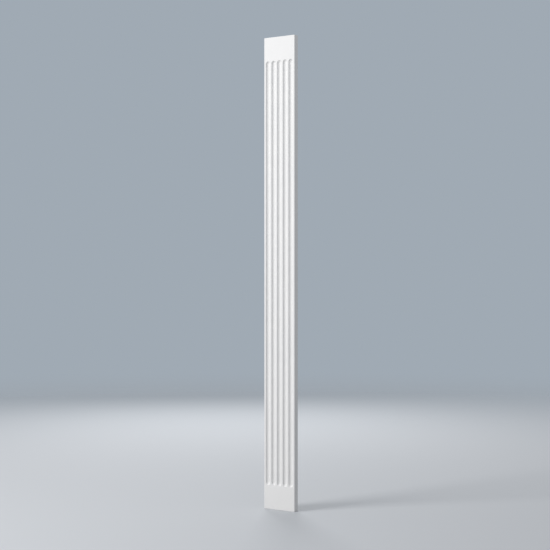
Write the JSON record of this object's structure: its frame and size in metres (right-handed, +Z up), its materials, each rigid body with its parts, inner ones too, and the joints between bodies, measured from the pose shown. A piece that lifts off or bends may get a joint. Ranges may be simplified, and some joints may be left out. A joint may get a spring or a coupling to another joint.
{
  "type": "fluted pilaster",
  "caption": "Tall flat wall pilaster in white moulded foam: round-ended flutes run up its face between plain end blocks, and its flat back fixes to a wall.",
  "frame": {"origin": "on the back face, where it meets the wall, at the middle of its bottom edge", "axes": "+Z up along the board, +X to the right of someone who faces the front, +Y into the wall, so the front faces -Y"},
  "size_m": [0.1778, 0.0286, 2.286],
  "materials": {
    "primed_foam": "factory-primed matte white, sold ready to paint"
  },
  "bodies": {
    "root": {"pilaster": "primed_foam"}
  },
  "joints": []
}
